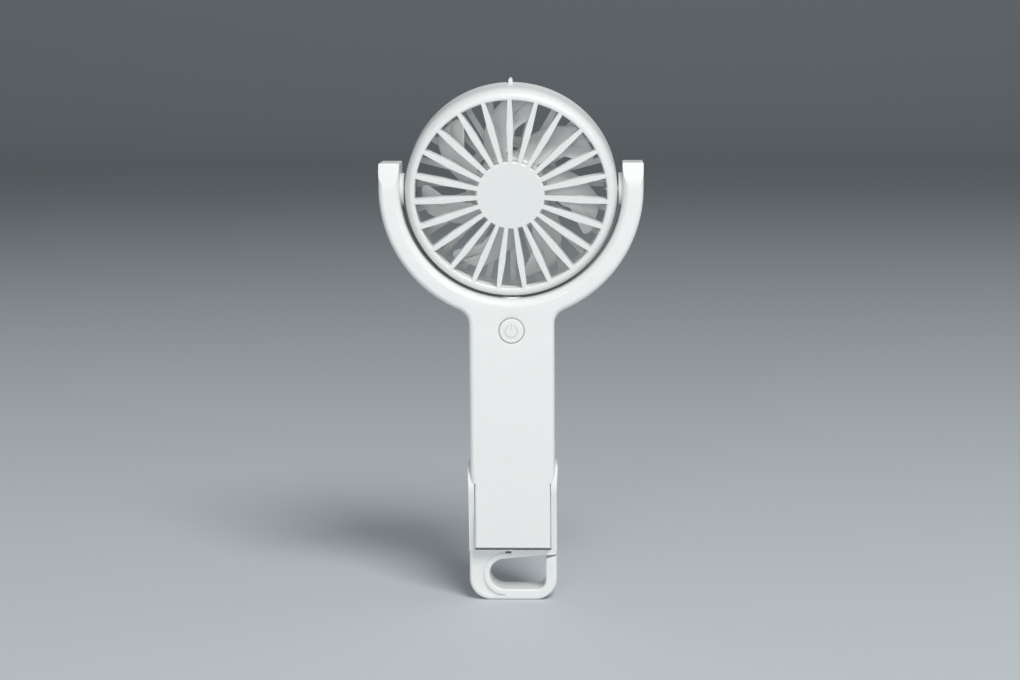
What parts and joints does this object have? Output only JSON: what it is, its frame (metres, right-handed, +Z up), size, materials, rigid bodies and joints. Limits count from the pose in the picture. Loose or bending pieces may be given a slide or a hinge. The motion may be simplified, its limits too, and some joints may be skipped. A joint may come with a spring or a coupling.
{
  "type": "handheld fan",
  "caption": "Rechargeable hand fan: round grilled head that turns over in a U-shaped yoke on a flat handle, with a power button and a carabiner loop that folds back as a stand.",
  "frame": {"origin": "centre of the loop's flat underside, where the fan stands", "axes": "+Z up along the handle to the head, +X to the right seen from the front, the fan blows towards -Y; the head is stored tilted 8.5 degrees face down"},
  "size_m": [0.1112, 0.036, 0.2245],
  "materials": {
    "shell_plastic": "cool white moulded plastic, satin sheen",
    "head_plastic": "cool white moulded plastic, satin sheen",
    "impeller_plastic": "white moulded plastic",
    "button_plastic": "cool white moulded plastic",
    "loop_plastic": "cool white moulded plastic",
    "bush_plastic": "cool white moulded plastic",
    "screw_steel": "zinc-plated steel",
    "cell_wrap": "shrink wrap over a steel can",
    "pad_foam": "closed-cell foam",
    "board_resin": "green solder mask over glass-filled resin",
    "component_black": "black moulded packages",
    "plunger_black": "black moulded plastic",
    "socket_metal": "plated steel",
    "pin_steel": "turned steel",
    "core_steel": "pressed steel",
    "coil_copper": "enamelled copper wire",
    "bearing_bronze": "sintered bronze",
    "magnet_ferrite": "bonded ferrite",
    "lead_rubber": "insulated wire",
    "tab_nickel": "nickel strip"
  },
  "bodies": {
    "handle": {"front_shell": "shell_plastic", "rear_shell": "shell_plastic", "shell_screws": "screw_steel", "battery_cell": "cell_wrap", "battery_pads": "pad_foam", "battery_tabs": "tab_nickel", "battery_leads": "lead_rubber", "handle_lead": "lead_rubber", "control_board": "board_resin", "board_components": "component_black", "board_screws": "screw_steel", "tact_switch": "component_black", "usb_socket": "socket_metal", "left_pivot_bush": "bush_plastic", "right_pivot_bush": "bush_plastic"},
    "head": {"front_grille": "head_plastic", "rear_housing": "head_plastic", "left_pivot_pin": "pin_steel", "right_pivot_pin": "pin_steel", "pivot_washers": "pin_steel", "pivot_clips": "pin_steel", "stator_core": "core_steel", "stator_windings": "coil_copper", "motor_board": "board_resin", "motor_bearings": "bearing_bronze", "head_lead": "lead_rubber"},
    "rotor": {"impeller": "impeller_plastic", "rotor_cup": "core_steel", "ring_magnet": "magnet_ferrite", "motor_shaft": "pin_steel", "shaft_clip": "pin_steel"},
    "button": {"power_button": "button_plastic", "switch_plunger": "plunger_black"},
    "stand": {"stand_loop": "loop_plastic"}
  },
  "joints": [
    {"name": "head_tilt", "type": "hinge", "parent": "handle", "child": "head", "pos_m": [0, 0, 0.1774], "axis": [1, 0, 0], "range_deg": [-170, 162]},
    {"name": "impeller_spin", "type": "hinge", "parent": "head", "child": "rotor", "pos_m": [0, 0, 0.1774], "axis": [0, -0.989, -0.1478], "continuous": true},
    {"name": "button_press", "type": "slide", "parent": "handle", "child": "button", "axis": [0, 1, 0], "range_m": [0, 0.0006], "stiffness_N_per_m": 1000, "springref_m": -0.0006},
    {"name": "stand_swing", "type": "hinge", "parent": "handle", "child": "stand", "pos_m": [0, 0, 0.0495], "axis": [1, 0, 0], "range_deg": [0, 70]}
  ]
}
